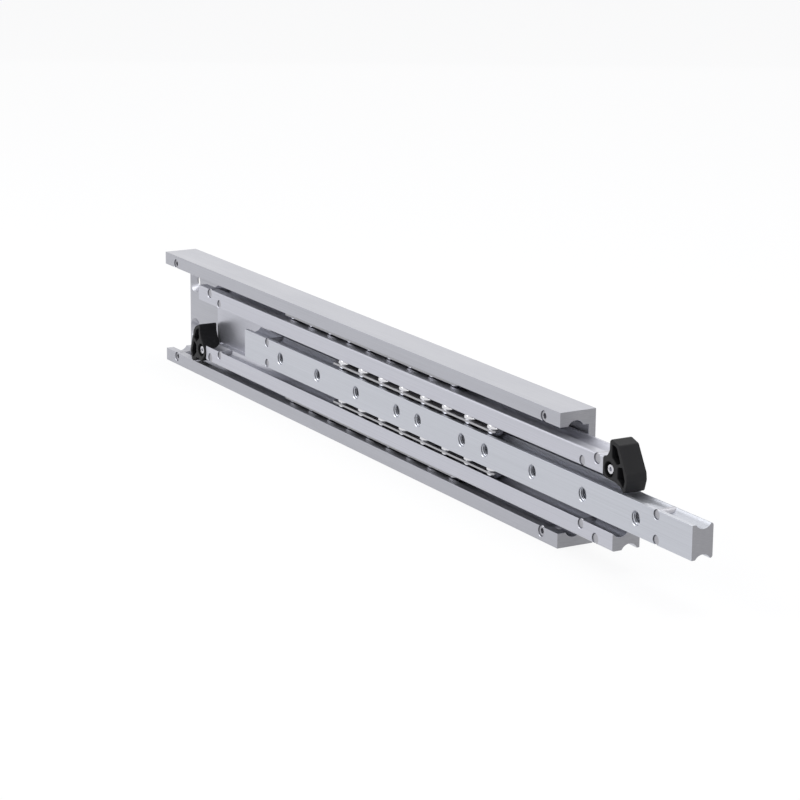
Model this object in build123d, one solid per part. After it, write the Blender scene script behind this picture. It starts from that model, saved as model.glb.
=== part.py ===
from build123d import *
import os

# A heavy telescopic ball rail that opens both ways.
# Three members of the same length run inside each other on four rows of balls:
# an outer channel that is bolted to a wall or frame, a channel in the middle,
# and an inner bar that carries the load. A lever at each end of the middle
# channel holds it to the outer one while the inner bar is beneath the lever.
#
# X runs along the rail, +Z is up, and the wall lies behind the rail at Y = 0.
# The front of the rail looks to -Y. The origin is the middle of the back face.
# The members stand part of the way out to the right.

# Lengths and places along the rail
RAIL_LENGTH = 650.0
MIDDLE_AT = 70.0
INNER_AT = 165.0

# Outer channel
OUTER_HEIGHT = 100.0
OUTER_DEPTH = 30.4
OUTER_WEB = 6.0
OUTER_LIP = 11.0

# Middle channel
OUTER_GAP = 6.3
MIDDLE_LIP = 13.0
MIDDLE_DEPTH = 23.0
MIDDLE_WEB = 4.6
MIDDLE_BACK_GAP = 2.4

# Inner bar
INNER_GAP = 7.5
INNER_DEPTH = 17.2
INNER_BACK_GAP = 3.7
INNER_BACK_ROUND = 1.8

# Long edges and the corners inside the channels
EDGE_ROUND = 0.4

# Balls and tracks
BALL_DIAMETER = 13.5
TRACK_CLEARANCE = 0.3
BALL_STEPS = 20
OUTER_BALLS = 9
INNER_BALLS = 8
OUTER_TRACK_BEHIND_LIP = 14.4
INNER_TRACK_BEHIND_BAR = 9.1

# Cages, thin strips that stand in the gaps and space the balls
CAGE_THICKNESS = 1.6
CAGE_SIDE_MARGIN = 1.2
CAGE_END_MARGIN = 2.5
CAGE_CORNER = 3.0

# Countersunk wall holes in two rows
WALL_HOLE_DIAMETER = 10.5
WALL_HOLE_SINK = 20.0
WALL_HOLE_FROM_END = 10.5
WALL_HOLES = 7
WALL_HOLE_ROW = 22.0

# Threaded load holes: even steps of the length, with a close pair in the middle
LOAD_HOLE_DIAMETER = 8.5
LOAD_HOLE_MOUTH = 11.0
LOAD_HOLE_STEPS = 10
LOAD_HOLES_EACH_SIDE = 4

# Stops that the end balls run against
STOP_RECESS = 1.0
STOP_FIT = 0.05
DOWEL_DIAMETER = 8.0
DOWEL_LENGTH = 19.0
DOWEL_OVERHANG = 0.35
DOWEL_CHAMFER = 0.6
DOWEL_FROM_END = 21.5
SOCKET_ACROSS = 4.0
SOCKET_DEPTH = 3.0
PIN_DIAMETER = 7.0
PIN_LENGTH = 15.0
PIN_OVERHANG = 0.25
PIN_CHAMFER = 0.5
MIDDLE_PIN_FROM_END = 40.0
INNER_PIN_FROM_END = 41.0

# Levers: outline and pockets as X and Z from the pivot, with a corner radius
LEVER_PIVOT_FROM_END = 5.2
LEVER_PIVOT_ABOVE_LIP_EDGE = 5.5
LEVER_SWUNG_IN = 49.5
LEVER_SEAT_BEHIND = 8.8
LEVER_PROUD = 1.0
LEVER_PLAY = 0.2
LEVER_OUTLINE = [
    (-7.8, -6.6, 4.4),
    (-7.8, 7.6, 2.5),
    (-3.0, 9.2, 5.0),
    (-0.2, 13.6, 4.0),
    (0.2, 22.6, 2.5),
    (11.0, 19.4, 2.5),
    (21.4, 1.0, 4.0),
    (22.0, -4.0, 3.0),
    (19.4, -12.4, 1.5),
    (17.4, -12.4, 0.8),
    (13.6, -9.2, 3.0),
    (7.8, -7.4, 3.0),
]
LEVER_UPPER_POCKET = [
    (3.0, 18.6, 0.8),
    (8.4, 17.2, 1.5),
    (13.4, 7.3, 1.2),
    (8.8, 5.2, 1.5),
    (3.2, 9.4, 2.0),
]
LEVER_LOWER_POCKET = [
    (10.2, 3.8, 1.2),
    (15.6, 5.0, 1.2),
    (18.9, -3.8, 2.0),
    (17.2, -9.4, 0.6),
    (13.4, -6.0, 1.0),
    (10.2, -4.2, 1.2),
]
POCKET_DEPTH = 11.0

# Lever screw, bush and washer
SCREW_DIAMETER = 4.0
SCREW_FIT = 0.05
SCREW_END_SHORT = 0.4
SCREW_CHAMFER = 0.4
HEAD_DIAMETER = 7.0
HEAD_HEIGHT = 4.0
HEAD_RECESS = 1.2
HEAD_SINK = 11.2
HEAD_SOCKET_ACROSS = 3.0
HEAD_SOCKET_DEPTH = 2.0
BUSH_DIAMETER = 6.0
BUSH_FIT = 0.05
WASHER_DIAMETER = 12.0
WASHER_THICKNESS = 2.4

# Heights, measured up from the middle line
outer_half = OUTER_HEIGHT / 2
outer_lip_edge = outer_half - OUTER_LIP
middle_half = outer_lip_edge - OUTER_GAP
middle_lip_edge = middle_half - MIDDLE_LIP
inner_half = middle_lip_edge - INNER_GAP
outer_track_z = (outer_lip_edge + middle_half) / 2
inner_track_z = (middle_lip_edge + inner_half) / 2
lever_z = middle_lip_edge + LEVER_PIVOT_ABOVE_LIP_EDGE

# Depths, with the back face at 0 and the front towards -Y
outer_front = -OUTER_DEPTH
outer_web_front = -OUTER_WEB
middle_back = outer_web_front - MIDDLE_BACK_GAP
middle_web_front = middle_back - MIDDLE_WEB
middle_front = middle_back - MIDDLE_DEPTH
inner_back = middle_web_front - INNER_BACK_GAP
inner_front = inner_back - INNER_DEPTH
outer_track_y = middle_front + OUTER_TRACK_BEHIND_LIP
inner_track_y = inner_front + INNER_TRACK_BEHIND_BAR
washer_front = middle_web_front - WASHER_THICKNESS
lever_front = middle_front - LEVER_PROUD
lever_back = washer_front - LEVER_PLAY
head_front = lever_front + HEAD_RECESS
head_back = head_front + HEAD_HEIGHT

# Places along the rail, measured from its middle
half_length = RAIL_LENGTH / 2
lever_x = half_length - LEVER_PIVOT_FROM_END
dowel_x = half_length - DOWEL_FROM_END
middle_pin_x = half_length - MIDDLE_PIN_FROM_END
inner_pin_x = half_length - INNER_PIN_FROM_END
ball_pitch = RAIL_LENGTH / BALL_STEPS
load_hole_pitch = RAIL_LENGTH / LOAD_HOLE_STEPS
wall_hole_pitch = (RAIL_LENGTH - 2 * WALL_HOLE_FROM_END) / (WALL_HOLES - 1)

# Radii
ball_radius = BALL_DIAMETER / 2
track_radius = ball_radius + TRACK_CLEARANCE

# Heights of the stops: they stand a little proud of the edge that they sit in
outer_dowel_z = outer_lip_edge - DOWEL_OVERHANG + DOWEL_DIAMETER / 2
middle_dowel_z = middle_half + DOWEL_OVERHANG - DOWEL_DIAMETER / 2
middle_pin_z = middle_lip_edge - PIN_OVERHANG + PIN_DIAMETER / 2
inner_pin_z = inner_half + PIN_OVERHANG - PIN_DIAMETER / 2

FROM_MOUTH = (Align.CENTER, Align.CENTER, Align.MIN)


def spread(count, pitch):
    """Places of evenly spaced things about the middle."""
    return [(i - (count - 1) / 2) * pitch for i in range(count)]


def corners(x, z):
    """Four places that mirror each other about the middle."""
    return [(sx * x, sz * z) for sx in (1, -1) for sz in (1, -1)]


def band(y0, y1, half):
    """A rectangle of the cross-section between two depths, as high above as below."""
    return Pos((y0 + y1) / 2, 0) * Rectangle(y1 - y0, 2 * half)


def cut_tracks(section, y, z):
    """Take the ball tracks above and below out of a cross-section."""
    for side in (1, -1):
        section -= Pos(y, side * z) * Circle(track_radius)
    return section


def channel(front, back, half, web_front, lip_edge):
    """The cross-section of a channel that is open to the front."""
    section = band(front, back, half) - band(front - 1, web_front, lip_edge)
    return fillet(section.vertices(), EDGE_ROUND)


def run(section):
    """A cross-section run along the whole rail."""
    return extrude(Plane.YZ * section, half_length, both=True)


def facing(x, y, z):
    """A place on a front face, looking into the material."""
    return Plane(origin=(x, y, z), x_dir=(1, 0, 0), z_dir=(0, 1, 0))


def bore(x, y, z, diameter, depth):
    """A round hole that goes in from a front face."""
    return facing(x, y, z) * Cylinder(diameter / 2, depth, align=FROM_MOUTH)


def sink(x, y, z, mouth, diameter):
    """The 90 degree cone at the mouth of a hole."""
    depth = (mouth - diameter) / 2
    return facing(x, y, z) * Cone(mouth / 2, diameter / 2, depth, align=FROM_MOUTH)


def stop_holes(x, z, front, diameter, length):
    """Blind holes for four stops."""
    depth = STOP_RECESS + length + STOP_FIT
    return [bore(px, front, pz, diameter + 2 * STOP_FIT, depth) for px, pz in corners(x, z)]


def outer_rail():
    """The fixed channel, with a track in each lip and countersunk holes in its web."""
    section = channel(outer_front, 0, outer_half, outer_web_front, outer_lip_edge)
    rail = run(cut_tracks(section, outer_track_y, outer_track_z))
    rail -= stop_holes(dowel_x, outer_dowel_z, outer_front, DOWEL_DIAMETER, DOWEL_LENGTH)
    for x in spread(WALL_HOLES, wall_hole_pitch):
        for z in (WALL_HOLE_ROW, -WALL_HOLE_ROW):
            rail -= bore(x, outer_web_front, z, WALL_HOLE_DIAMETER, OUTER_WEB)
            rail -= sink(x, outer_web_front, z, WALL_HOLE_SINK, WALL_HOLE_DIAMETER)
    return rail


def lever_seat(side):
    """The end of one lip, cut away to make room for a lever."""
    x0 = lever_x - LEVER_SEAT_BEHIND
    length = half_length - x0 + 1
    height = MIDDLE_LIP + 1
    depth = middle_web_front - middle_front + 1
    block = Box(length, depth, height, align=(Align.MIN, Align.MAX, Align.MIN))
    block = Pos(x0, middle_web_front, middle_lip_edge - EDGE_ROUND) * block
    return block if side > 0 else Rot(0, 180, 0) * block


def middle_rail():
    """The middle channel, with tracks outside and inside its lips."""
    section = channel(middle_front, middle_back, middle_half, middle_web_front, middle_lip_edge)
    section = cut_tracks(section, outer_track_y, outer_track_z)
    rail = run(cut_tracks(section, inner_track_y, inner_track_z))
    rail -= stop_holes(dowel_x, middle_dowel_z, middle_front, DOWEL_DIAMETER, DOWEL_LENGTH)
    rail -= stop_holes(middle_pin_x, middle_pin_z, middle_front, PIN_DIAMETER, PIN_LENGTH)
    for side in (1, -1):
        rail -= lever_seat(side)
        thread = SCREW_DIAMETER + 2 * SCREW_FIT
        rail -= bore(side * lever_x, middle_web_front, side * lever_z, thread, MIDDLE_WEB)
    return Pos(MIDDLE_AT, 0, 0) * rail


def load_hole_places():
    """Places of the threaded holes along the bar."""
    steps = [load_hole_pitch / 2] + [load_hole_pitch * (i + 1) for i in range(LOAD_HOLES_EACH_SIDE)]
    return [side * x for x in steps for side in (1, -1)]


def inner_rail():
    """The bar that carries the load, with a track above and below."""
    section = band(inner_front, inner_back, inner_half)
    section = fillet(section.vertices().group_by(Axis.X)[-1], INNER_BACK_ROUND)
    section = fillet(section.vertices().group_by(Axis.X)[0], EDGE_ROUND)
    rail = run(cut_tracks(section, inner_track_y, inner_track_z))
    for x in load_hole_places():
        rail -= bore(x, inner_front, 0, LOAD_HOLE_DIAMETER, INNER_DEPTH)
        rail -= sink(x, inner_front, 0, LOAD_HOLE_MOUTH, LOAD_HOLE_DIAMETER)
    rail -= stop_holes(inner_pin_x, inner_pin_z, inner_front, PIN_DIAMETER, PIN_LENGTH)
    return Pos(INNER_AT, 0, 0) * rail


def cage(count, x, y, z):
    """A strip with one round pocket for each ball."""
    length = (count - 1) * ball_pitch + BALL_DIAMETER + 2 * CAGE_END_MARGIN
    width = 2 * (track_radius + CAGE_SIDE_MARGIN)
    plan = RectangleRounded(length, width, CAGE_CORNER)
    for px in spread(count, ball_pitch):
        plan -= Pos(px, 0) * Circle(track_radius)
    return Pos(x, y, z) * extrude(plan, CAGE_THICKNESS / 2, both=True)


def balls(count, x, y, z):
    """One row of loose balls."""
    row = [Pos(x + px, y, z) * Sphere(ball_radius) for px in spread(count, ball_pitch)]
    return Compound(children=row)


def rounded(points):
    """A closed outline, each of its corners with a radius of its own."""
    face = make_face(Polyline(*[(x, z) for x, z, _ in points], close=True))
    for x, z, radius in points:
        corner = face.vertices().sort_by_distance((x, z, 0))[0]
        face = fillet([corner], radius)
    return face


def from_front(y, face, depth):
    """A flat outline on a front face, run into the material."""
    front = Plane(origin=(0, y, 0), x_dir=(1, 0, 0), z_dir=(0, -1, 0))
    return extrude(front * face, -depth)


def at_pivot(side, solid):
    """A piece made on the Y axis, moved to the pivot of one lever."""
    return Pos(MIDDLE_AT + side * lever_x, 0, side * lever_z) * solid


def lever(side):
    """A lever with a nose and a foot. The right one is out, the left one swung in."""
    thickness = lever_back - lever_front
    body = from_front(lever_front, rounded(LEVER_OUTLINE), thickness)
    body -= from_front(lever_front, rounded(LEVER_UPPER_POCKET), POCKET_DEPTH)
    body -= from_front(lever_front, rounded(LEVER_LOWER_POCKET), POCKET_DEPTH)
    body -= bore(0, lever_front, 0, HEAD_SINK, HEAD_RECESS + HEAD_HEIGHT + LEVER_PLAY)
    body -= bore(0, lever_front, 0, BUSH_DIAMETER + 2 * BUSH_FIT, thickness)
    turn = 0 if side > 0 else 180 + LEVER_SWUNG_IN
    return at_pivot(side, Rot(0, turn, 0) * body)


def rod(y0, y1, diameter):
    """A round solid on the Y axis between two depths."""
    return bore(0, y0, 0, diameter, y1 - y0)


def hexagon(across):
    """A six-sided outline of a width across its flats."""
    return RegularPolygon(across / 2, 6, major_radius=False)


def lever_screw(side):
    """A socket-head screw, threaded into the middle channel's web."""
    head = rod(head_front, head_back, HEAD_DIAMETER)
    head = chamfer(head.edges().filter_by(GeomType.CIRCLE).sort_by(Axis.Y)[0], SCREW_CHAMFER)
    screw = head + rod(head_back, middle_back - SCREW_END_SHORT, SCREW_DIAMETER)
    screw -= from_front(head_front, hexagon(HEAD_SOCKET_ACROSS), HEAD_SOCKET_DEPTH)
    return at_pivot(side, screw)


def ring(side, y0, y1, diameter):
    """A round piece that the lever screw passes through."""
    hole = SCREW_DIAMETER + 2 * SCREW_FIT
    return at_pivot(side, rod(y0, y1, diameter) - rod(y0, y1, hole))


def dowels(front, member_x, z, socket):
    """Four stops of the outer rows, as set screws or plain dowels."""
    y0 = front + STOP_RECESS
    body = rod(y0, y0 + DOWEL_LENGTH, DOWEL_DIAMETER)
    body = chamfer(body.edges().filter_by(GeomType.CIRCLE), DOWEL_CHAMFER)
    if socket:
        body -= from_front(y0, hexagon(SOCKET_ACROSS), SOCKET_DEPTH)
    return Compound(children=[Pos(member_x + x, 0, pz) * body for x, pz in corners(dowel_x, z)])


def pins(front, member_x, x, z):
    """Four plain pins that stop the inner rows."""
    y0 = front + STOP_RECESS
    body = rod(y0, y0 + PIN_LENGTH, PIN_DIAMETER)
    body = chamfer(body.edges().filter_by(GeomType.CIRCLE), PIN_CHAMFER)
    return Compound(children=[Pos(member_x + px, 0, pz) * body for px, pz in corners(x, z)])


nodes = {
    "outer_rail": outer_rail(),
    "middle_rail": middle_rail(),
    "inner_rail": inner_rail(),
    "outer_stop_screws": dowels(outer_front, 0, outer_dowel_z, True),
    "middle_stop_dowels": dowels(middle_front, MIDDLE_AT, middle_dowel_z, False),
    "middle_stop_pins": pins(middle_front, MIDDLE_AT, middle_pin_x, middle_pin_z),
    "inner_stop_pins": pins(inner_front, INNER_AT, inner_pin_x, inner_pin_z),
}

# The cages travel half as far as the members that roll on them
for row, side in (("top", 1), ("bottom", -1)):
    outer_row = (OUTER_BALLS, MIDDLE_AT / 2, outer_track_y, side * outer_track_z)
    inner_row = (INNER_BALLS, (MIDDLE_AT + INNER_AT) / 2, inner_track_y, side * inner_track_z)
    nodes["outer_cage_" + row] = cage(*outer_row)
    nodes["outer_balls_" + row] = balls(*outer_row)
    nodes["inner_cage_" + row] = cage(*inner_row)
    nodes["inner_balls_" + row] = balls(*inner_row)

for name, side in (("right", 1), ("left", -1)):
    nodes["lever_" + name] = lever(side)
    nodes["lever_screw_" + name] = lever_screw(side)
    nodes["lever_bush_" + name] = ring(side, head_back, washer_front, BUSH_DIAMETER)
    nodes["lever_washer_" + name] = ring(side, washer_front, middle_web_front, WASHER_DIAMETER)

os.makedirs("parts", exist_ok=True)
for name, shape in nodes.items():
    export_step(shape, "parts/" + name + ".step")
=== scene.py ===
import math

import bmesh
import bpy
from bpy.props import FloatProperty, FloatVectorProperty, PointerProperty
from mathutils import Matrix, Vector


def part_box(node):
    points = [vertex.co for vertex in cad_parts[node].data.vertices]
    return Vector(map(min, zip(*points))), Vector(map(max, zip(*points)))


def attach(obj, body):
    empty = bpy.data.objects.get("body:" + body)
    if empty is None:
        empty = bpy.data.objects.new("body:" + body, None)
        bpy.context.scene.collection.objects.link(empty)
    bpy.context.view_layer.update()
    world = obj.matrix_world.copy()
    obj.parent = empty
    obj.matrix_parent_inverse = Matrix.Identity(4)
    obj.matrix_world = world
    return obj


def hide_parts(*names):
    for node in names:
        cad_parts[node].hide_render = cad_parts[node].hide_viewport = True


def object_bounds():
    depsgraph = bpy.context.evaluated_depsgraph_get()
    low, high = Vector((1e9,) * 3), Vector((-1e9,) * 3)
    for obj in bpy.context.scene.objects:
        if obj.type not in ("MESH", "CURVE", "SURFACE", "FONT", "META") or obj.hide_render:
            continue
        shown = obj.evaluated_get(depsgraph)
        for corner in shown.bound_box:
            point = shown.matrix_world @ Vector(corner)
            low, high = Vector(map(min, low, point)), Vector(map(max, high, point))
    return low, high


bl_info = {
    "name": "Telescopic ball rail",
    "version": (1, 0, 0),
    "blender": (4, 5, 0),
    "location": "View3D > Sidebar > Ball rail",
    "description": "Dresses a two-way telescopic ball rail around its packed frame",
    "category": "Object",
}

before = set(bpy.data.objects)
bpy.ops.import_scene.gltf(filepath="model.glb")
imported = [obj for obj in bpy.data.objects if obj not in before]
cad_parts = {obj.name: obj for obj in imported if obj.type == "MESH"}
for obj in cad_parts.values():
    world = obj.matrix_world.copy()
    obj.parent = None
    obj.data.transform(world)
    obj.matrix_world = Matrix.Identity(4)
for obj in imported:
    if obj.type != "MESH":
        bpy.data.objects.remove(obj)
CAD_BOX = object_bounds()

SIDES = (("right", 1), ("left", -1))
ROWS = ("top", "bottom")
BALLS_IN_ROW = {"outer": 9, "inner": 8}

# How fine the curves are, and from which angle an edge is sharp
CURVE_STEP = math.radians(7)
ROUND_STEPS = 48
BALL_STEPS = 36
BALL_RINGS = 18
SMOOTH_BELOW = math.radians(28)
SAME_POINT = 1e-7

# How far a cutter reaches past the faces that it opens, and the least share that it may leave
BEYOND = 0.001
LEAST_LEFT = 0.5

# Lengths are in metres unless a comment says otherwise
POCKET_PITCH = 0.0325
CAGE_CORNER = 0.003
CAGE_EDGE = 0.00015
WALL_HOLE_COLUMNS = 7

# Load holes: pitches in half the bar, and each hole's distance from the middle in pitches
LOAD_HOLE_STEPS = 5
LOAD_HOLES = (0.5, 1, 2, 3, 4)

# Threads: distance from the bar's faces, and from the wall of the hole to the ridge's middle
THREAD_END = 0.0012
THREAD_LIFT = 0.0001

# Body, radius and chamfer of each kind of stop
STOPS = {
    "outer_stop_screws": ("outer", 0.004, 0.0006),
    "middle_stop_dowels": ("middle", 0.004, 0.0006),
    "middle_stop_pins": ("middle", 0.0035, 0.0005),
    "inner_stop_pins": ("inner", 0.0035, 0.0005),
}
STOP_HOLE_BREAK = 0.0003

# Hexagon sockets: width across flats, flare of the mouth, depth of the flare and of the socket
SET_SCREW_SOCKET = (0.004, 1.12, 0.0003, 0.003)
LEVER_SCREW_SOCKET = (0.003, 1.15, 0.0002, 0.002)

# Lever screws: radii of the shank, its hole and the head, and the depth and drop of its crown
SHANK = 0.002
SHANK_CHAMFER = 0.0004
SHANK_HOLE = 0.00205
HEAD = 0.0035
HEAD_HEIGHT = 0.004
HEAD_CROWN = ((0.0004, 0), (0.0001, 0.0002), (0, 0.0004))

# Levers: the corners are in millimetres about the pivot, each with a radius
LEVER_OUTLINE = (
    (-7.8, -6.6, 4.4),
    (-7.8, 7.6, 2.5),
    (-3.0, 9.2, 5.0),
    (-0.2, 13.6, 4.0),
    (0.2, 22.6, 2.5),
    (11.0, 19.4, 2.5),
    (21.4, 1.0, 4.0),
    (22.0, -4.0, 3.0),
    (19.4, -12.4, 1.5),
    (17.4, -12.4, 0.8),
    (13.6, -9.2, 3.0),
    (7.8, -7.4, 3.0),
)
LEVER_POCKETS = (
    ((3.0, 18.6, 0.8), (8.4, 17.2, 1.5), (13.4, 7.3, 1.2), (8.8, 5.2, 1.5), (3.2, 9.4, 2.0)),
    (
        (10.2, 3.8, 1.2),
        (15.6, 5.0, 1.2),
        (18.9, -3.8, 2.0),
        (17.2, -9.4, 0.6),
        (13.4, -6.0, 1.0),
        (10.2, -4.2, 1.2),
    ),
)

# How far a lever's edges are softened, how far its seat's wall is from the pivot, and the turn
# from the right lever to the left one
LEVER_EDGE = 0.0007
LEVER_SEAT = 0.0088
LEFT_LEVER_TURN = math.radians(229.5)

# Depth behind a lever's front, with a pocket's inset or a bore's radius at that depth
POCKET_STEPS = ((-0.0004, -0.0008), (0.0004, 0), (0.0106, 0.0001), (0.011, 0.0005))
HEAD_BORE = ((-0.0004, 0.0062), (0.0004, 0.0056), (0.0054, 0.0056))
BUSH_BORE_START = 0.005
BUSH_BORE = 0.00305

# Roughness of the bright finishes
ROUGHNESS = {"ball": 0.10, "fixing": 0.24, "cage": 0.38, "stop": 0.42}

# Sockets of a Mix node in its colour mode
MIX_SHARE, MIX_FIRST, MIX_SECOND, MIX_RESULT = 0, 6, 7, 2

# Where most noise values lie, and where a face begins and ends to count as a sawn end face, whose
# darker colour is partly painted shade
NOISE_RANGE = (0.3, 0.7)
FACING_RANGE = (0.8, 0.98)

# Stage: name, place, width, watts and colour of each lamp
WHITE = (1, 1, 1)
LAMPS = (
    ("key", (-0.9, -1.8, 1.7), 1.4, 26, WHITE),
    ("top", (0.2, 0.3, 2.2), 1.8, 26, WHITE),
    ("side", (2.2, -0.4, 0.9), 1.2, 7, WHITE),
    ("back", (-1.8, 1.1, 0.75), 1.6, 1.6, (1.0, 0.985, 0.96)),
)
LAMP_TARGET = (0.08, 0, 0)
FLOOR_REACH = 12
FLOOR_GLOW = 0.88
WORLD_SHADE = (0.93, 0.94, 1.0)
WORLD_STRENGTH = 0.55

# The camera that fits the photo's edges. The lengths of its sensor and lens are in millimetres
CAMERA_PLACE = (1.87136, -1.05523, 0.53415)
CAMERA_AZIMUTH = math.radians(59.9488)
CAMERA_ELEVATION = math.radians(14.4118)
CAMERA_ROLL = math.radians(0.5194)
CAMERA_SENSOR = 36
CAMERA_LENS = 122.579


# Sizes and colours that a user would change


def size(label, note, millimetres):
    """A length setting, given in millimetres."""
    return FloatProperty(
        name=label, description=note, default=millimetres / 1000, unit="LENGTH", precision=5
    )


def colour(label, note, red, green, blue):
    """A colour setting."""
    shade = (red, green, blue)
    return FloatVectorProperty(
        name=label, description=note, default=shade, size=3, min=0, max=1, subtype="COLOR"
    )


class RailSizes(bpy.types.PropertyGroup):
    groove_radius: size("Groove radius", "Radius of a ball track in the rails", 7.05)
    groove_break: size("Groove break", "Width of the broken edge beside a ball track", 0.14)
    edge_round: size("Edge round", "Radius of the rails' long edges", 0.4)
    nose_round: size("Nose round", "Radius of the middle rail's front outer edges", 1.6)
    lip_round: size("Lip round", "Radius of the middle rail's front inner edges", 0.25)
    back_round: size("Back round", "Radius of the inner bar's back edges", 1.8)
    end_break: size("End break", "Chamfer round the rails' cut ends", 0.15)
    outer_web: size("Outer web", "Thickness of the outer rail's back wall", 6.0)
    outer_lip: size("Outer lip", "Height of each lip of the outer rail", 11.0)
    middle_web: size("Middle web", "Thickness of the middle rail's back wall", 4.6)
    middle_lip: size("Middle lip", "Height of each lip of the middle rail", 13.0)
    wall_hole: size("Wall hole", "Radius of the outer rail's screw holes", 5.25)
    wall_sink: size("Wall hole sink", "Radius of the cone at a wall hole's mouth", 10.0)
    wall_row: size("Wall hole row", "Distance of each row of wall holes from the middle", 22.0)
    wall_end: size("Wall hole to end", "Distance of the last wall holes from the ends", 10.5)
    load_hole: size("Load hole", "Radius at the bottom of the inner bar's threads", 4.95)
    load_mouth: size("Load hole mouth", "Radius of a load hole's chamfer", 5.5)
    thread_pitch: size("Thread pitch", "Distance between the turns of a load hole's thread", 1.5)
    thread_ridge: size("Thread ridge", "Radius of the thread's ridge", 0.62)
    stop_hole: size("Stop hole play", "Room round a stop and behind it", 0.05)
    cage_margin: size("Cage margin", "Strip left beside a cage's ball pocket", 1.2)


class RailColours(bpy.types.PropertyGroup):
    outer: colour("Outer rail", "Ground steel of the outer rail", 0.425, 0.430, 0.468)
    middle: colour("Middle rail", "Ground steel of the middle rail", 0.515, 0.520, 0.572)
    inner: colour("Inner bar", "Ground steel of the inner bar", 0.520, 0.535, 0.580)
    # End faces: a sawn finish, and darker than the long faces as painted shade
    cut: colour("Cut ends", "Sawn ends of the rails", 0.330, 0.330, 0.350)
    cage: colour("Cage strip", "Rolled strip of the ball cages", 0.420, 0.420, 0.440)
    ball: colour("Balls", "Polished ball steel", 0.760, 0.760, 0.790)
    fixing: colour("Fixings", "Bright lever screws, bushes and washers", 0.660, 0.660, 0.700)
    stop: colour("Stops", "Duller stop screws, dowels and pins", 0.430, 0.430, 0.460)
    lever: colour("Levers", "Moulded dark plastic", 0.009, 0.009, 0.010)
    floor: colour("Floor", "Studio floor", 0.92, 0.92, 0.93)


# Outlines: lists of points round a closed shape


def arc(centre, radius, start, end):
    """Points along an arc, both ends included."""
    steps = max(2, math.ceil(abs(end - start) / CURVE_STEP))
    turns = [start + (end - start) * i / steps for i in range(steps + 1)]
    return [(centre[0] + radius * math.cos(t), centre[1] + radius * math.sin(t)) for t in turns]


def rounded(corners):
    """A closed outline from corners, each given as two coordinates and a radius."""
    points = []
    for i, (u, v, radius) in enumerate(corners):
        here = Vector((u, v))
        if radius == 0:
            points.append((u, v))
            continue
        back = (Vector(corners[i - 1][:2]) - here).normalized()
        ahead = (Vector(corners[(i + 1) % len(corners)][:2]) - here).normalized()
        half = back.angle(ahead) / 2
        centre = here + (back + ahead).normalized() * radius / math.sin(half)
        first = here + back * radius / math.tan(half) - centre
        last = here + ahead * radius / math.tan(half) - centre
        start = math.atan2(first.y, first.x)
        turn = (math.atan2(last.y, last.x) - start + math.pi) % (2 * math.pi) - math.pi
        points += arc(centre, radius, start, start + turn)
    return points


def in_metres(corners):
    """Corners given in millimetres, as a rounded outline in metres."""
    return rounded([(u / 1000, v / 1000, radius / 1000) for u, v, radius in corners])


def inset(outline, distance):
    """An outline moved inwards by one distance all round, or outwards by a negative one."""
    count = len(outline)
    corners = [(outline[i - 1], outline[i]) for i in range(count)]
    area = sum(before[0] * here[1] - here[0] * before[1] for before, here in corners)
    sign = 1 if area > 0 else -1
    moved = []
    for i in range(count):
        here = Vector(outline[i])
        before = (here - Vector(outline[i - 1])).normalized()
        after = (Vector(outline[(i + 1) % count]) - here).normalized()
        normal = Vector((-before.y - after.y, before.x + after.x)).normalized() * sign
        # A sharp corner moves by twice the distance at most
        stretch = max(0.5, normal.dot(Vector((-before.y, before.x))) * sign)
        moved.append(tuple(here + normal * distance / stretch))
    for i in range(count):
        old = Vector(outline[i]) - Vector(outline[i - 1])
        new = Vector(moved[i]) - Vector(moved[i - 1])
        if old.dot(new) <= 0:
            raise ValueError(f"an outline moved in by {distance} folds over near {outline[i]}")
    return moved


def groove(centre, edge, forward, sizes):
    """Corners of a ball track that is cut into a level edge of a rail's section."""
    side = 1 if edge > centre[1] else -1
    radius = sizes.groove_radius
    half = math.acos(abs(edge - centre[1]) / radius)
    trim = sizes.groove_break / radius
    middle = side * math.pi / 2
    swing = side * (half - trim)
    reach = radius * math.sin(half) + sizes.groove_break
    points = [(centre[0] - reach, edge)]
    points += arc(centre, radius, middle + swing, middle - swing)
    points += [(centre[0] + reach, edge)]
    corners = [(u, v, 0) for u, v in points]
    return corners if forward else corners[::-1]


def mirrored(upper):
    """A section's upper corners followed by their mirror image below."""
    return upper + [(u, -v, radius) for u, v, radius in reversed(upper)]


def circle(radius, steps=ROUND_STEPS):
    """A round outline."""
    turns = [2 * math.pi * i / steps for i in range(steps)]
    return [(radius * math.cos(t), radius * math.sin(t)) for t in turns]


def hexagon(across):
    """A six-sided outline with as many points as a round one."""
    points = []
    for u, v in circle(1):
        turn = math.atan2(v, u) % (math.pi / 3) - math.pi / 6
        radius = across / 2 / math.cos(turn)
        points.append((u * radius, v * radius))
    return points


# Meshes


def shape(name, stacks):
    """A mesh object made of stacks of rings, each stack closed by flat ends."""
    piece = empty_piece(name)
    bm = bmesh.new()
    for rings in stacks:
        loops = [[bm.verts.new(point) for point in ring] for ring in rings]
        for low, high in zip(loops, loops[1:]):
            for i in range(len(low)):
                bm.faces.new((low[i - 1], low[i], high[i], high[i - 1]))
        bm.faces.new(loops[0])
        bm.faces.new(loops[-1])
    bmesh.ops.recalc_face_normals(bm, faces=bm.faces)
    bm.to_mesh(piece.data)
    bm.free()
    return piece


def empty_piece(name):
    """A piece with no mesh yet."""
    piece = bpy.data.objects.new(name, bpy.data.meshes.new(name))
    bpy.context.scene.collection.objects.link(piece)
    return piece


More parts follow.
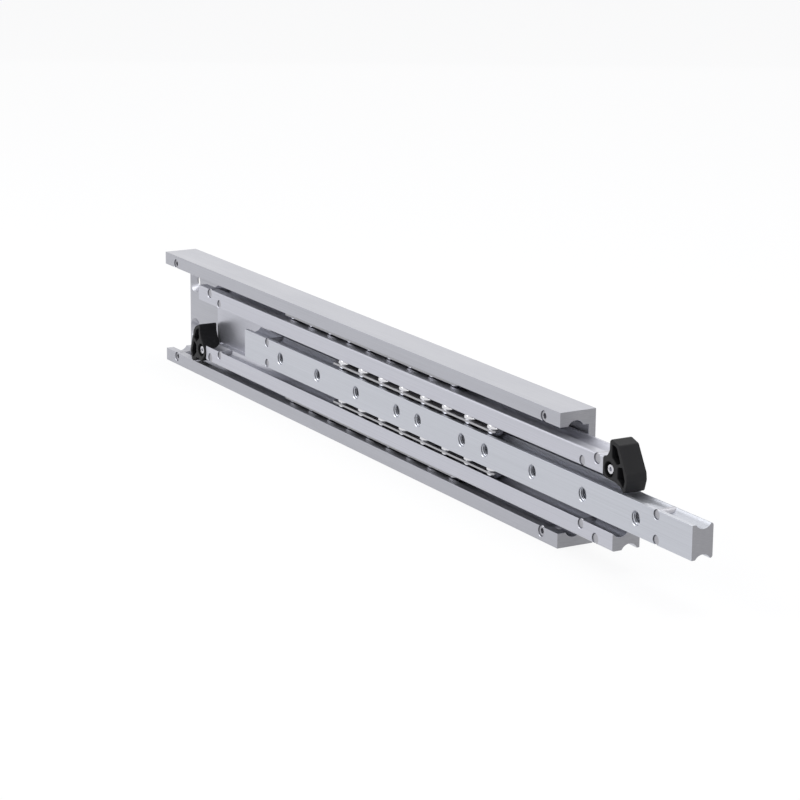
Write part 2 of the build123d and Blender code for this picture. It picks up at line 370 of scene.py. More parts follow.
def ball_about_origin(name, radius):
    """A ball with its poles above and below, its faces always in the same order."""
    piece = empty_piece(name)
    bm = bmesh.new()
    poles = [bm.verts.new((0, 0, level)) for level in (radius, -radius)]
    rings = []
    for i in range(1, BALL_RINGS):
        tilt = math.pi * i / BALL_RINGS
        outline = circle(radius * math.sin(tilt), BALL_STEPS)
        rings.append([bm.verts.new((u, v, radius * math.cos(tilt))) for u, v in outline])
    for i in range(BALL_STEPS):
        bm.faces.new((poles[0], rings[0][i - 1], rings[0][i]))
        bm.faces.new((poles[1], rings[-1][i], rings[-1][i - 1]))
        for high, low in zip(rings, rings[1:]):
            bm.faces.new((low[i - 1], low[i], high[i], high[i - 1]))
    bm.to_mesh(piece.data)
    bm.free()
    return piece


def along_x(outline, x0, x1, chamfer):
    """Rings of a section run along X, with chamfered ends."""
    small = inset(outline, chamfer)
    steps = ((x0, small), (x0 + chamfer, outline), (x1 - chamfer, outline), (x1, small))
    return [[(x, u, v) for u, v in ring] for x, ring in steps]


def along_y(outline, y0, y1, chamfer):
    """Rings of a front view run along Y, with ends that are softened in two steps."""
    bend = chamfer * 0.3
    steps = [(y0, chamfer), (y0 + bend, bend), (y0 + chamfer, 0)]
    steps += [(y1 - chamfer, 0), (y1 - bend, bend), (y1, chamfer)]
    return [[(u, y, v) for u, v in (inset(outline, d) if d else outline)] for y, d in steps]


def turned(profile, place=(0, 0, 0), steps=ROUND_STEPS):
    """Rings about the Y direction at a place. A profile step is a depth and a radius or outline."""
    x, y, z = place
    rings = []
    for depth, outline in profile:
        if not isinstance(outline, list):
            outline = circle(outline, steps)
        rings.append([(x + u, y + depth, z + v) for u, v in outline])
    return rings


def pin_profile(half_length, radius, chamfer):
    """Profile of a plain pin with both ends chamfered, from its back to its front."""
    back = [(half_length, radius - chamfer), (half_length - chamfer, radius)]
    return back + [(chamfer - half_length, radius), (-half_length, radius - chamfer)]


def socket_profile(front, across, flare, flare_depth, depth):
    """Profile of a hexagon socket that opens at a screw's front."""
    socket = hexagon(across)
    mouth = [(u * flare, v * flare) for u, v in socket]
    return [(front, mouth), (front + flare_depth, socket), (front + depth, socket)]


def drilled(place, radius, depth, mouth):
    """A hole's shape, from just in front of its mouth to its end."""
    return turned(((-BEYOND, mouth + BEYOND), (mouth - radius, radius), (depth, radius)), place)


def plain(piece):
    """Turn a piece's modifiers into plain mesh."""
    graph = bpy.context.evaluated_depsgraph_get()
    mesh = bpy.data.meshes.new_from_object(piece.evaluated_get(graph), depsgraph=graph)
    piece.modifiers.clear()
    piece.data = mesh


def volume_of(piece):
    """The volume that a piece's faces enclose."""
    bm = bmesh.new()
    bm.from_mesh(piece.data)
    volume = bm.calc_volume(signed=True)
    bm.free()
    return volume


def cut(piece, stacks):
    """Take stacks of rings out of a piece, and make sure that most of it is still there."""
    whole = volume_of(piece)
    cutter = shape("cutter", stacks)
    boolean = piece.modifiers.new("cut", "BOOLEAN")
    boolean.operation = "DIFFERENCE"
    boolean.solver = "EXACT"
    boolean.object = cutter
    plain(piece)
    bpy.data.objects.remove(cutter)
    left = volume_of(piece)
    if not LEAST_LEFT * whole < left < whole:
        raise RuntimeError(f"a cut spoilt {piece.name}: its volume went from {whole} to {left}")


def dressed(piece, material, body, slot, *nodes):
    """Shade a piece, give it its finish and body, and let it stand for its CAD nodes."""
    bm = bmesh.new()
    bm.from_mesh(piece.data)
    bmesh.ops.remove_doubles(bm, verts=bm.verts, dist=SAME_POINT)
    bm.to_mesh(piece.data)
    bm.free()
    piece.data.materials.clear()
    piece.data.materials.append(material)
    piece.data.shade_smooth()
    piece.data.set_sharp_from_angle(angle=SMOOTH_BELOW)
    weight = piece.modifiers.new("weight", "WEIGHTED_NORMAL")
    weight.keep_sharp = True
    plain(piece)
    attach(piece, body)
    if nodes:
        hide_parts(*nodes)


# Where things are in the frame


def span(node):
    """Middle and half extents of a CAD node."""
    low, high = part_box(node)
    return (low + high) / 2, (high - low) / 2


def front_and_back(node):
    """Y of a CAD node's front and back."""
    middle, half = span(node)
    return middle.y - half.y, middle.y + half.y


def track(row):
    """Depth and height of the balls' middle in a row."""
    middle, _ = span(row)
    return (middle.y, middle.z)


# Geometry node trees


def tree_of(name, sockets):
    """An empty geometry tree with named inputs, a material and one geometry output."""
    tree = bpy.data.node_groups.new(name, "GeometryNodeTree")
    for label, kind in (*sockets, ("Material", "Material")):
        tree.interface.new_socket(label, in_out="INPUT", socket_type="NodeSocket" + kind)
    tree.interface.new_socket("Geometry", in_out="OUTPUT", socket_type="NodeSocketGeometry")
    return tree, tree.nodes.new("NodeGroupInput").outputs


def link(tree, *pairs):
    """Join outputs to inputs."""
    for out, into in pairs:
        tree.links.new(out, into)


def maths(tree, operation, first, second=0.0):
    """A maths node of two values. Numbers are set and sockets are joined."""
    step = tree.nodes.new("ShaderNodeMath")
    step.operation = operation
    for slot, value in zip(step.inputs, (first, second)):
        if isinstance(value, bpy.types.NodeSocket):
            tree.links.new(value, slot)
        else:
            slot.default_value = value
    return step.outputs[0]


def centred_line(tree, count, step):
    """A row of points about the origin."""
    row = tree.nodes.new("GeometryNodeMeshLine")
    row.mode = "OFFSET"
    back = maths(tree, "MULTIPLY", maths(tree, "SUBTRACT", count, 1.0), -0.5)
    start = tree.nodes.new("ShaderNodeVectorMath")
    start.operation = "SCALE"
    link(
        tree,
        (step, start.inputs[0]),
        (back, start.inputs["Scale"]),
        (count, row.inputs["Count"]),
        (start.outputs[0], row.inputs["Start Location"]),
        (step, row.inputs["Offset"]),
    )
    return row.outputs["Mesh"]


def placed(tree, geometry, given):
    """Geometry moved to the place that a tree is given."""
    move = tree.nodes.new("GeometryNodeTransform")
    link(tree, (geometry, move.inputs["Geometry"]), (given["Place"], move.inputs["Translation"]))
    return move.outputs["Geometry"]


def ended(tree, geometry, given):
    """End a tree in real geometry of the material that it is given."""
    real = tree.nodes.new("GeometryNodeRealizeInstances")
    paint = tree.nodes.new("GeometryNodeSetMaterial")
    result = tree.nodes.new("NodeGroupOutput")
    link(
        tree,
        (geometry, real.inputs["Geometry"]),
        (real.outputs["Geometry"], paint.inputs["Geometry"]),
        (given["Material"], paint.inputs["Material"]),
        (paint.outputs["Geometry"], result.inputs["Geometry"]),
    )
    return tree


def repeat_tree(name):
    """Copies of a piece in a row of rows about a place."""
    sockets = (("Geometry", "Geometry"), ("Count", "Int"), ("Step", "Vector"))
    sockets += (("Rows", "Int"), ("Row Step", "Vector"), ("Place", "Vector"))
    tree, given = tree_of(name, sockets)
    copies = given["Geometry"]
    for count, step in (("Count", "Step"), ("Rows", "Row Step")):
        put = tree.nodes.new("GeometryNodeInstanceOnPoints")
        line = centred_line(tree, given[count], given[step])
        link(tree, (line, put.inputs["Points"]), (copies, put.inputs["Instance"]))
        copies = put.outputs["Instances"]
    return ended(tree, placed(tree, copies, given), given)


def cage_tree(name):
    """A flat strip with a round pocket for each ball, lying level on a place."""
    floats = ("Length", "Width", "Thickness", "Pocket Radius", "Pitch")
    sockets = (("Count", "Int"), *((label, "Float") for label in floats), ("Place", "Vector"))
    tree, given = tree_of(name, sockets)
    strip = tree.nodes.new("GeometryNodeCurvePrimitiveQuadrilateral")
    soften = tree.nodes.new("GeometryNodeFilletCurve")
    soften.mode = "POLY"
    soften.inputs["Count"].default_value = 8
    soften.inputs["Radius"].default_value = CAGE_CORNER
    pocket = tree.nodes.new("GeometryNodeCurvePrimitiveCircle")
    pocket.inputs["Resolution"].default_value = ROUND_STEPS
    axis = tree.nodes.new("ShaderNodeCombineXYZ")
    put = tree.nodes.new("GeometryNodeInstanceOnPoints")
    curves = tree.nodes.new("GeometryNodeJoinGeometry")
    real = tree.nodes.new("GeometryNodeRealizeInstances")
    fill = tree.nodes.new("GeometryNodeFillCurve")
    thick = tree.nodes.new("GeometryNodeExtrudeMesh")
    thick.inputs["Individual"].default_value = False
    flip = tree.nodes.new("GeometryNodeFlipFaces")
    both = tree.nodes.new("GeometryNodeJoinGeometry")
    merge = tree.nodes.new("GeometryNodeMergeByDistance")
    merge.inputs["Distance"].default_value = 10 * SAME_POINT
    link(
        tree,
        (given["Pitch"], axis.inputs["X"]),
        (given["Length"], strip.inputs["Width"]),
        (given["Width"], strip.inputs["Height"]),
        (given["Pocket Radius"], pocket.inputs["Radius"]),
        (strip.outputs["Curve"], soften.inputs["Curve"]),
        (centred_line(tree, given["Count"], axis.outputs[0]), put.inputs["Points"]),
        (pocket.outputs["Curve"], put.inputs["Instance"]),
        (put.outputs["Instances"], curves.inputs[0]),
        (soften.outputs["Curve"], curves.inputs[0]),
        (curves.outputs[0], real.inputs["Geometry"]),
        (real.outputs["Geometry"], fill.inputs["Curve"]),
        (fill.outputs["Mesh"], thick.inputs["Mesh"]),
        (given["Thickness"], thick.inputs["Offset Scale"]),
        (fill.outputs["Mesh"], flip.inputs["Mesh"]),
        (thick.outputs["Mesh"], both.inputs[0]),
        (flip.outputs["Mesh"], both.inputs[0]),
        (both.outputs[0], merge.inputs["Geometry"]),
    )
    return ended(tree, placed(tree, merge.outputs["Geometry"], given), given)


def thread_tree(name):
    """The ridge of an inside thread, wound about the Y direction."""
    sockets = ((label, "Float") for label in ("Pitch", "Radius", "Ridge", "Depth"))
    tree, given = tree_of(name, sockets)
    wind = tree.nodes.new("GeometryNodeCurveSpiral")
    wind.inputs["Resolution"].default_value = 24
    ridge = tree.nodes.new("GeometryNodeCurvePrimitiveCircle")
    ridge.inputs["Resolution"].default_value = 6
    sweep = tree.nodes.new("GeometryNodeCurveToMesh")
    sweep.inputs["Fill Caps"].default_value = True
    lay = tree.nodes.new("GeometryNodeTransform")
    lay.inputs["Rotation"].default_value = (math.radians(-90), 0, 0)
    link(
        tree,
        (maths(tree, "DIVIDE", given["Depth"], given["Pitch"]), wind.inputs["Rotations"]),
        (given["Radius"], wind.inputs["Start Radius"]),
        (given["Radius"], wind.inputs["End Radius"]),
        (given["Depth"], wind.inputs["Height"]),
        (given["Ridge"], ridge.inputs["Radius"]),
        (wind.outputs["Curve"], sweep.inputs["Curve"]),
        (ridge.outputs["Curve"], sweep.inputs["Profile Curve"]),
        (sweep.outputs["Mesh"], lay.inputs["Geometry"]),
    )
    return ended(tree, lay.outputs["Geometry"], given)


def grown(piece, tree_maker, **values):
    """Run a geometry tree on a piece and keep its result as plain mesh."""
    name = tree_maker.__name__
    tree = bpy.data.node_groups.get(name) or tree_maker(name)
    modifier = piece.modifiers.new(name, "NODES")
    modifier.node_group = tree
    for socket in tree.interface.items_tree:
        label = socket.name.replace(" ", "_").lower()
        if socket.in_out == "INPUT" and label in values:
            modifier[socket.identifier] = values[label]
    plain(piece)


# Materials


def material_of(name):
    """A material, its node tree and its surface shader."""
    material = bpy.data.materials.new(name)
    material.use_nodes = True
    return material, material.node_tree, material.node_tree.nodes["Principled BSDF"]


def tinted(shade, share):
    """A colour made darker or paler by a share."""
    return [min(1, value * share) for value in shade]


def noise(tree, stretch, detail=3.0):
    """Noise on Object coordinates, stretched by a scale for each direction."""
    place = tree.nodes.new("ShaderNodeTexCoord")
    mapping = tree.nodes.new("ShaderNodeMapping")
    mapping.inputs["Scale"].default_value = stretch
    texture = tree.nodes.new("ShaderNodeTexNoise")
    texture.inputs["Scale"].default_value = 1.0
    texture.inputs["Detail"].default_value = detail
    texture.inputs["Roughness"].default_value = 0.55
    link(
        tree,
        (place.outputs["Object"], mapping.inputs["Vector"]),
        (mapping.outputs["Vector"], texture.inputs["Vector"]),
    )
    return texture.outputs["Fac"]


def spread_of(tree, value, low, high, source=NOISE_RANGE):
    """A value moved from its own range into another."""
    step = tree.nodes.new("ShaderNodeMapRange")
    step.inputs["From Min"].default_value = source[0]
    step.inputs["From Max"].default_value = source[1]
    step.inputs["To Min"].default_value = low
    step.inputs["To Max"].default_value = high
    tree.links.new(value, step.inputs["Value"])
    return step.outputs["Result"]


def blend(tree, share, first, second):
    """Two colours mixed by a share. Colours are set and sockets are joined."""
    step = tree.nodes.new("ShaderNodeMix")
    step.data_type = "RGBA"
    tree.links.new(share, step.inputs[MIX_SHARE])
    for slot, value in ((MIX_FIRST, first), (MIX_SECOND, second)):
        if isinstance(value, bpy.types.NodeSocket):
            tree.links.new(value, step.inputs[slot])
        else:
            step.inputs[slot].default_value = (*value, 1)
    return step.outputs[MIX_RESULT]


def bumped(tree, shader, height, strength, distance=0.00004):
    """Small relief from a height value."""
    bump = tree.nodes.new("ShaderNodeBump")
    bump.inputs["Strength"].default_value = strength
    bump.inputs["Distance"].default_value = distance
    link(tree, (height, bump.inputs["Height"]), (bump.outputs["Normal"], shader.inputs["Normal"]))


def facing_x(tree):
    """How nearly a surface faces along the rail, from 0 to 1."""
    place = tree.nodes.new("ShaderNodeTexCoord")
    parts = tree.nodes.new("ShaderNodeSeparateXYZ")
    tree.links.new(place.outputs["Normal"], parts.inputs["Vector"])
    share = maths(tree, "ABSOLUTE", parts.outputs["X"])
    return spread_of(tree, share, 0.0, 1.0, FACING_RANGE)


def ground_steel(name, shade, sawn_and_shaded_end):
    """Steel ground along the rail, with rougher sawn ends whose darker colour is partly painted
    shade.
    """
    material, tree, shader = material_of(name)
    lines = noise(tree, (6, 2600, 2600), 4.0)
    patches = noise(tree, (9, 40, 40))
    saw = noise(tree, (300, 260, 4200))
    # Mask of the end faces: they get a rougher sawn finish and a colour darkened as painted shade
    ends = facing_x(tree)
    line_share = spread_of(tree, lines, 0.0, 1.0)
    faces = blend(tree, line_share, tinted(shade, 0.90), tinted(shade, 1.06))
    faces = blend(tree, spread_of(tree, patches, 0.0, 0.35), faces, shade)
    # The end faces' colour, with saw marks, is darker than the long faces as painted shade
    cuts = blend(tree, spread_of(tree, saw, 0.0, 1.0), tinted(sawn_and_shaded_end, 0.82), sawn_and_shaded_end)
    rough = spread_of(tree, patches, 0.30, 0.40)
    rough = maths(tree, "ADD", rough, maths(tree, "MULTIPLY", ends, 0.15))
    tree.links.new(blend(tree, ends, faces, cuts), shader.inputs["Base Color"])
    tree.links.new(rough, shader.inputs["Roughness"])
    shader.inputs["Metallic"].default_value = 0.85
    bumped(tree, shader, lines, 0.12)
    return material


def bright_steel(name, shade, roughness):
    """Turned, rolled or polished steel with faint clouding."""
    material, tree, shader = material_of(name)
    cloud = noise(tree, (220, 220, 220))
    faces = blend(tree, spread_of(tree, cloud, 0.0, 1.0), tinted(shade, 0.88), shade)
    rough = spread_of(tree, cloud, roughness * 0.8, roughness * 1.25)
    tree.links.new(faces, shader.inputs["Base Color"])
    tree.links.new(rough, shader.inputs["Roughness"])
    shader.inputs["Metallic"].default_value = 1.0
    bumped(tree, shader, cloud, 0.05)
    return material


def moulded(name, shade):
    """Dark moulded plastic with a fine spark-eroded grain."""
    material, tree, shader = material_of(name)
    grain = noise(tree, (2600, 2600, 2600), 2.0)
    cloud = noise(tree, (90, 90, 90))
    faces = blend(tree, spread_of(tree, cloud, 0.0, 1.0), shade, tinted(shade, 1.35))
    tree.links.new(faces, shader.inputs["Base Color"])
    tree.links.new(spread_of(tree, cloud, 0.46, 0.60), shader.inputs["Roughness"])
    shader.inputs["Specular IOR Level"].default_value = 0.2
    bumped(tree, shader, grain, 0.25, 0.00006)
    return material


def finish_of(key):
    """The material of one finish, made when it is first asked for."""
    name = "finish_" + key
    if name in bpy.data.materials:
        return bpy.data.materials[name]
    shades = bpy.context.scene.rail_colours
    shade = tuple(getattr(shades, key))
    if key == "lever":
        return moulded(name, shade)
    if key in ROUGHNESS:
        return bright_steel(name, shade, ROUGHNESS[key])
    # The end-face colour is darkened as painted shade as well as being a sawn finish
    return ground_steel(name, shade, tuple(shades.cut))


# Pieces


def bar(name, node, upper, sizes):
    """A rail as long as its CAD node, from the upper corners of its section."""
    middle, half = span(node)
    outline = rounded(mirrored(upper))
    return shape(name, [along_x(outline, middle.x - half.x, middle.x + half.x, sizes.end_break)])


def stop_cuts(node, front, sizes):
    """The holes of four stops, from the rail's front to just behind the stops."""
    _, radius, _ = STOPS[node]
    middle, half = span(node)
    depth = middle.y + half.y + sizes.stop_hole - front
    wide = radius + sizes.stop_hole
    cuts = []
    for side in (1, -1):
        for level in (1, -1):
            place = (middle.x + side * (half.x - radius), front, level * (half.z - radius))
            cuts.append(drilled(place, wide, depth, wide + STOP_HOLE_BREAK))
    return cuts


class RAIL_OT_outer(bpy.types.Operator):
    """Make the outer rail: a channel with ball tracks, sunk wall holes and stop holes"""

    bl_idname = "rail.outer"
    bl_label = "Outer rail"

    def execute(self, context):
        s = context.scene.rail_sizes
        _, half = span("outer_rail")
        front, back = front_and_back("outer_rail")
        web = back - s.outer_web
        edge = half.z - s.outer_lip
        upper = [(u, v, s.edge_round) for u, v in ((back, half.z), (front, half.z), (front, edge))]
        upper += groove(track("outer_balls_top"), edge, True, s) + [(web, edge, s.edge_round)]
        rail = bar("outer_rail_ground", "outer_rail", upper, s)
        cuts = stop_cuts("outer_stop_screws", front, s)
        pitch = 2 * (half.x - s.wall_end) / (WALL_HOLE_COLUMNS - 1)
        for column in range(WALL_HOLE_COLUMNS):
            for z in (s.wall_row, -s.wall_row):
                place = (-half.x + s.wall_end + column * pitch, web, z)
                cuts.append(drilled(place, s.wall_hole, s.outer_web + BEYOND, s.wall_sink))
        cut(rail, cuts)
        dressed(rail, finish_of("outer"), "outer", "outer_steel", "outer_rail")
        return {"FINISHED"}


class RAIL_OT_middle(bpy.types.Operator):
    """Make the middle rail: a channel with tracks outside and inside, and seats for the levers"""

    bl_idname = "rail.middle"
    bl_label = "Middle rail"

    def execute(self, context):
        s = context.scene.rail_sizes
        middle, half = span("middle_rail")
        front, back = front_and_back("middle_rail")
        web = back - s.middle_web
        edge = half.z - s.middle_lip
        upper = [(back, half.z, s.edge_round)]
        upper += groove(track("outer_balls_top"), half.z, False, s)
        upper += [(front, half.z, s.nose_round), (front, edge, s.lip_round)]
        upper += groove(track("inner_balls_top"), edge, True, s) + [(web, edge, s.edge_round)]
        rail = bar("middle_rail_ground", "middle_rail", upper, s)
        cuts = stop_cuts("middle_stop_dowels", front, s) + stop_cuts("middle_stop_pins", front, s)
        for name, side in SIDES:
            pivot, _ = span("lever_screw_" + name)
            seat = pivot.x - side * LEVER_SEAT
            end = middle.x + side * (half.x + BEYOND)
            inside = side * (edge - s.edge_round)
            outside = side * (half.z + BEYOND)
            corners = ((seat, inside), (end, inside), (end, outside), (seat, outside))
            cuts.append([[(x, y, z) for x, z in corners] for y in (front - BEYOND, web)])
            hole = ((-BEYOND, SHANK_HOLE), (s.middle_web + BEYOND, SHANK_HOLE))
            cuts.append(turned(hole, (pivot.x, web, pivot.z), ROUND_STEPS // 2))
        cut(rail, cuts)
        dressed(rail, finish_of("middle"), "middle", "middle_steel", "middle_rail")
        return {"FINISHED"}


class RAIL_OT_inner(bpy.types.Operator):
    """Make the inner bar with its tracks, stop holes and load holes"""

    bl_idname = "rail.inner"
    bl_label = "Inner bar"

    def execute(self, context):
        s = context.scene.rail_sizes
        middle, half = span("inner_rail")
        front, back = front_and_back("inner_rail")
        upper = [(back, half.z, s.back_round)]
        upper += groove(track("inner_balls_top"), half.z, False, s)
        upper += [(front, half.z, s.edge_round)]
        rail = bar("inner_bar_ground", "inner_rail", upper, s)
        cuts = stop_cuts("inner_stop_pins", front, s)
        step = half.x / LOAD_HOLE_STEPS
        for steps in LOAD_HOLES:
            for side in (1, -1):
                place = (middle.x + side * steps * step, front, 0)
                cuts.append(drilled(place, s.load_hole, 2 * half.y + BEYOND, s.load_mouth))
        cut(rail, cuts)
        dressed(rail, finish_of("inner"), "inner", "inner_steel", "inner_rail")
        return {"FINISHED"}


class RAIL_OT_threads(bpy.types.Operator):
    """Wind a thread ridge into each load hole of the inner bar"""

    bl_idname = "rail.threads"
    bl_label = "Load hole threads"

    def execute(self, context):
        s = context.scene.rail_sizes
        middle, half = span("inner_rail")
        front, _ = front_and_back("inner_rail")
        step = half.x / LOAD_HOLE_STEPS
        steel = finish_of("inner")
        for name, count, rows in (("near", 2, 1), ("spread", 4, 2)):
            coil = empty_piece("load_threads_" + name)
            grown(
                coil,
                thread_tree,
                pitch=s.thread_pitch,
                radius=s.load_hole - THREAD_LIFT,
                ridge=s.thread_ridge,
                depth=2 * (half.y - THREAD_END),
                material=steel,
            )
            grown(
                coil,
                repeat_tree,
                count=count,
                step=(step, 0, 0),
                rows=rows,
                row_step=(LOAD_HOLE_STEPS * step, 0, 0),
                place=(middle.x, front + THREAD_END, 0),
                material=steel,
            )
            dressed(coil, steel, "inner", "inner_steel")
        return {"FINISHED"}


class RAIL_OT_cages(bpy.types.Operator):
    """Make the four ball cages"""

    bl_idname = "rail.cages"
    bl_label = "Ball cages"

    def execute(self, context):
        s = context.scene.rail_sizes
        for member, count in BALLS_IN_ROW.items():
            for row in ROWS:
                node = f"{member}_cage_{row}"
                middle, half = span(node)
                strip = empty_piece(node + "_strip")
                grown(
                    strip,
                    cage_tree,
                    count=count,
                    length=2 * half.x,
                    width=2 * half.y,
                    thickness=2 * half.z,
                    pocket_radius=half.y - s.cage_margin,
                    pitch=POCKET_PITCH,
                    place=(middle.x, middle.y, middle.z - half.z),
                    material=finish_of("cage"),
                )
                bevel = strip.modifiers.new("edge", "BEVEL")
                bevel.width = CAGE_EDGE
                bevel.segments = 2
                bevel.limit_method = "ANGLE"
                bevel.angle_limit = math.radians(60)
                plain(strip)
                dressed(strip, finish_of("cage"), f"{member}_{row}_row", "cage_strip", node)
        return {"FINISHED"}


class RAIL_OT_balls(bpy.types.Operator):
    """Make the four rows of balls"""

    bl_idname = "rail.balls"
    bl_label = "Balls"

    def execute(self, context):
        for member, count in BALLS_IN_ROW.items():
            for row in ROWS:
                node = f"{member}_balls_{row}"
                middle, half = span(node)
                ball = ball_about_origin(node + "_polished", half.z)
                grown(
                    ball,
                    repeat_tree,
                    count=count,
                    step=(2 * (half.x - half.z) / (count - 1), 0, 0),
                    rows=1,
                    row_step=(0, 0, 0),
                    place=middle,
                    material=finish_of("ball"),
                )
                dressed(ball, finish_of("ball"), f"{member}_{row}_row", "ball_steel", node)
        return {"FINISHED"}


class RAIL_OT_stops(bpy.types.Operator):
    """Make the set screws, dowels and pins that stop the balls"""

    bl_idname = "rail.stops"
    bl_label = "Stops"

    def execute(self, context):
        for node, (body, radius, chamfer) in STOPS.items():
            middle, half = span(node)
            name = node + "_turned"
            profile = pin_profile(half.y, radius, chamfer)
            if node == "outer_stop_screws":
                name = "stop_set_screws"
                profile += socket_profile(-half.y, *SET_SCREW_SOCKET)
            stop = shape(name, [turned(profile)])
            grown(
                stop,
                repeat_tree,
                count=2,
                step=(2 * (half.x - radius), 0, 0),
                rows=2,
                row_step=(0, 0, 2 * (half.z - radius)),
                place=middle,
                material=finish_of("stop"),
            )
            dressed(stop, finish_of("stop"), body, "screw_steel", node)
        return {"FINISHED"}


class RAIL_OT_levers(bpy.types.Operator):
    """Make the two hold levers"""

    bl_idname = "rail.levers"
    bl_label = "Hold levers"

    def execute(self, context):
        outline = in_metres(LEVER_OUTLINE)
        for name, side in SIDES:
            node = "lever_" + name
            front, back = front_and_back(node)
            lever = shape(node + "_moulded", [along_y(outline, front, back, LEVER_EDGE)])
            cuts = []
            for pocket in LEVER_POCKETS:
                mouth = in_metres(pocket)
                rings = [(front + y, inset(mouth, distance)) for y, distance in POCKET_STEPS]
                cuts.append([[(u, y, v) for u, v in ring] for y, ring in rings])
            bush_bore = ((BUSH_BORE_START, BUSH_BORE), (back - front + BEYOND, BUSH_BORE))
            cuts += [turned(bore, (0, front, 0)) for bore in (HEAD_BORE, bush_bore)]
            cut(lever, cuts)
            pivot, _ = span("lever_screw_" + name)
            turn = Matrix.Rotation(0 if side > 0 else LEFT_LEVER_TURN, 4, "Y")
            lever.data.transform(Matrix.Translation((pivot.x, 0, pivot.z)) @ turn)
            dressed(lever, finish_of("lever"), name + "_lever", "lever_plastic", node)
        return {"FINISHED"}


class RAIL_OT_lever_screws(bpy.types.Operator):
    """Make the socket-head screws that hold the levers, and finish their bushes and washers"""

    bl_idname = "rail.lever_screws"
    bl_label = "Lever screws"

    def execute(self, context):
        for name, _ in SIDES:
            node = "lever_screw_" + name
            middle, half = span(node)
            front = -half.y
            profile = [(half.y, SHANK - SHANK_CHAMFER), (half.y - SHANK_CHAMFER, SHANK)]
            profile += [(front + HEAD_HEIGHT, SHANK), (front + HEAD_HEIGHT, HEAD)]
            profile += [(front + depth, HEAD - drop) for depth, drop in HEAD_CROWN]
            profile += socket_profile(front, *LEVER_SCREW_SOCKET)
            screw = shape(node + "_bright", [turned(profile, middle)])
            dressed(screw, finish_of("fixing"), "middle", "screw_steel", node)
            for ring in ("lever_bush_", "lever_washer_"):
                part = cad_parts[ring + name]
                part.data.materials.clear()
                part.data.materials.append(finish_of("fixing"))
        return {"FINISHED"}


# Stage


def ray_share(tree):
    """1 for rays from the camera, mirrors and glass, 0 for the light on the object."""
    path = tree.nodes.new("ShaderNodeLightPath")
    share = maths(tree, "ADD", path.outputs["Is Camera Ray"], path.outputs["Is Glossy Ray"])
    share = maths(tree, "ADD", share, path.outputs["Is Transmission Ray"])
    return maths(tree, "MINIMUM", share, 1.0)


def mixed(tree, share, first, second, into):
    """Two shaders mixed by a share and joined to an output node."""
    mix = tree.nodes.new("ShaderNodeMixShader")
    link(
        tree,
        (share, mix.inputs[0]),
        (first.outputs[0], mix.inputs[1]),
        (second.outputs[0], mix.inputs[2]),
        (mix.outputs[0], tree.nodes[into].inputs["Surface"]),
    )


def make_floor(shade):
    """The pale floor that takes the object's shadow."""
    floor = empty_piece("studio_floor")
    level = CAD_BOX[0][2]
    sides = ((-1, -1), (1, -1), (1, 1), (-1, 1))
    corners = [(x * FLOOR_REACH, y * FLOOR_REACH, level) for x, y in sides]
    floor.data.from_pydata(corners, [], [(0, 1, 2, 3)])
    material, tree, shader = material_of("finish_floor")
    shader.inputs["Base Color"].default_value = (*shade, 1)
    shader.inputs["Roughness"].default_value = 0.9
    glow = tree.nodes.new("ShaderNodeEmission")
    glow.inputs["Color"].default_value = (*WHITE, 1)
    share = maths(tree, "MULTIPLY", ray_share(tree), FLOOR_GLOW)
    mixed(tree, share, shader, glow, "Material Output")
    floor.data.materials.append(material)


def make_world(scene):
    """Soft light on the object, and white for the camera, mirrors and glass."""
    world = bpy.data.worlds.new("studio")
    world.use_nodes = True
    scene.world = world
    tree = world.node_tree
    light = tree.nodes["Background"]
    light.inputs["Color"].default_value = (*WORLD_SHADE, 1)
    light.inputs["Strength"].default_value = WORLD_STRENGTH
    seen = tree.nodes.new("ShaderNodeBackground")
    seen.inputs["Color"].default_value = (*WHITE, 1)
    seen.inputs["Strength"].default_value = 1.0
    mixed(tree, ray_share(tree), light, seen, "World Output")


def make_lamp(name, place, width, watts, shade):
    """A square soft lamp that looks at the object."""
    data = bpy.data.lights.new(name, "AREA")
    data.shape = "SQUARE"
    data.size = width
    data.energy = watts
    data.color = shade
    lamp = bpy.data.objects.new(name, data)
    lamp.location = place
    aim = Vector(LAMP_TARGET) - Vector(place)
    lamp.rotation_euler = aim.to_track_quat("-Z", "Y").to_euler()
    bpy.context.scene.collection.objects.link(lamp)


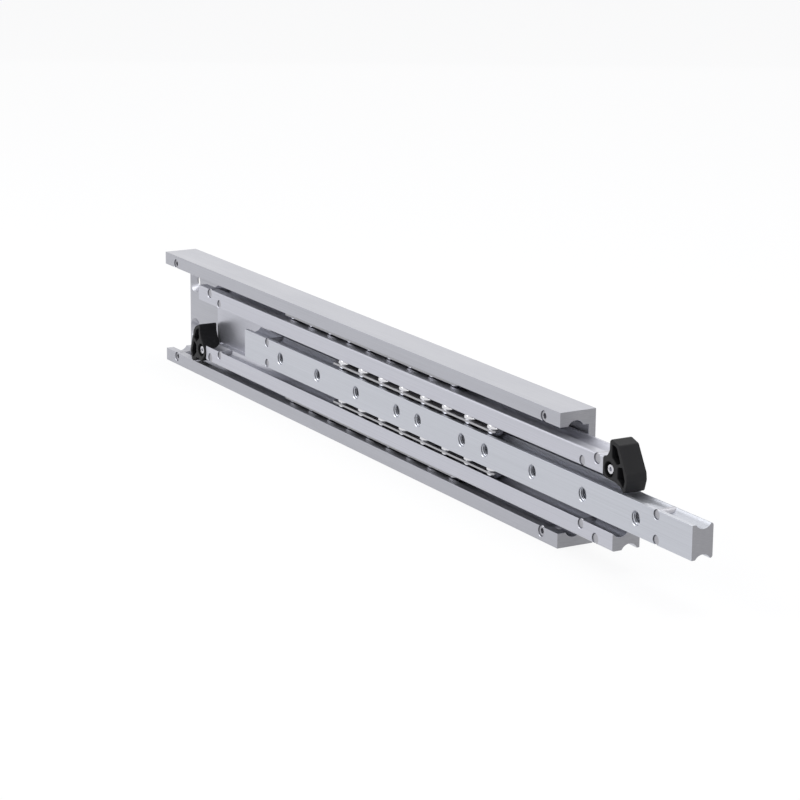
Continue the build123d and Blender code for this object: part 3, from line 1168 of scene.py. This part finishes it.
def make_camera(scene):
    """The camera, from its place, azimuth, elevation and roll."""
    data = bpy.data.cameras.new("camera")
    data.sensor_width = CAMERA_SENSOR
    data.lens = CAMERA_LENS
    camera = bpy.data.objects.new("camera", data)
    right = Vector((math.cos(CAMERA_AZIMUTH), math.sin(CAMERA_AZIMUTH), 0))
    level = math.cos(CAMERA_ELEVATION)
    back_x = math.sin(CAMERA_AZIMUTH) * level
    back_y = -math.cos(CAMERA_AZIMUTH) * level
    back = Vector((back_x, back_y, math.sin(CAMERA_ELEVATION)))
    up = back.cross(right)
    tilted_right = right * math.cos(CAMERA_ROLL) + up * math.sin(CAMERA_ROLL)
    tilted_up = up * math.cos(CAMERA_ROLL) - right * math.sin(CAMERA_ROLL)
    turn = Matrix((tilted_right, tilted_up, back)).transposed().to_4x4()
    camera.matrix_world = Matrix.Translation(CAMERA_PLACE) @ turn
    scene.collection.objects.link(camera)
    scene.camera = camera


class RAIL_OT_stage(bpy.types.Operator):
    """Set the floor, the surroundings, the lamps and the camera"""

    bl_idname = "rail.stage"
    bl_label = "Stage"

    def execute(self, context):
        scene = context.scene
        scene.view_settings.view_transform = "Standard"
        make_floor(tuple(scene.rail_colours.floor))
        make_world(scene)
        for lamp in LAMPS:
            make_lamp(*lamp)
        make_camera(scene)
        return {"FINISHED"}


STEPS = (
    RAIL_OT_stage,
    RAIL_OT_outer,
    RAIL_OT_middle,
    RAIL_OT_inner,
    RAIL_OT_threads,
    RAIL_OT_cages,
    RAIL_OT_balls,
    RAIL_OT_stops,
    RAIL_OT_levers,
    RAIL_OT_lever_screws,
)


class RAIL_PT_panel(bpy.types.Panel):
    """Lists the rail's sizes, colours and steps"""

    bl_idname = "RAIL_PT_panel"
    bl_label = "Ball rail"
    bl_space_type = "VIEW_3D"
    bl_region_type = "UI"
    bl_category = "Ball rail"

    def draw(self, context):
        for group in (context.scene.rail_sizes, context.scene.rail_colours):
            box = self.layout.box()
            for key in group.bl_rna.properties.keys():
                if key not in ("rna_type", "name"):
                    box.prop(group, key)
        for step in STEPS:
            self.layout.operator(step.bl_idname)


CLASSES = (RailSizes, RailColours, *STEPS, RAIL_PT_panel)


def register():
    for item in CLASSES:
        bpy.utils.register_class(item)
    bpy.types.Scene.rail_sizes = PointerProperty(type=RailSizes)
    bpy.types.Scene.rail_colours = PointerProperty(type=RailColours)


def unregister():
    del bpy.types.Scene.rail_colours
    del bpy.types.Scene.rail_sizes
    for item in reversed(CLASSES):
        bpy.utils.unregister_class(item)


def main():
    register()
    for step in STEPS:
        group, name = step.bl_idname.split(".")
        getattr(getattr(bpy.ops, group), name)()


if __name__ == "__main__":
    main()
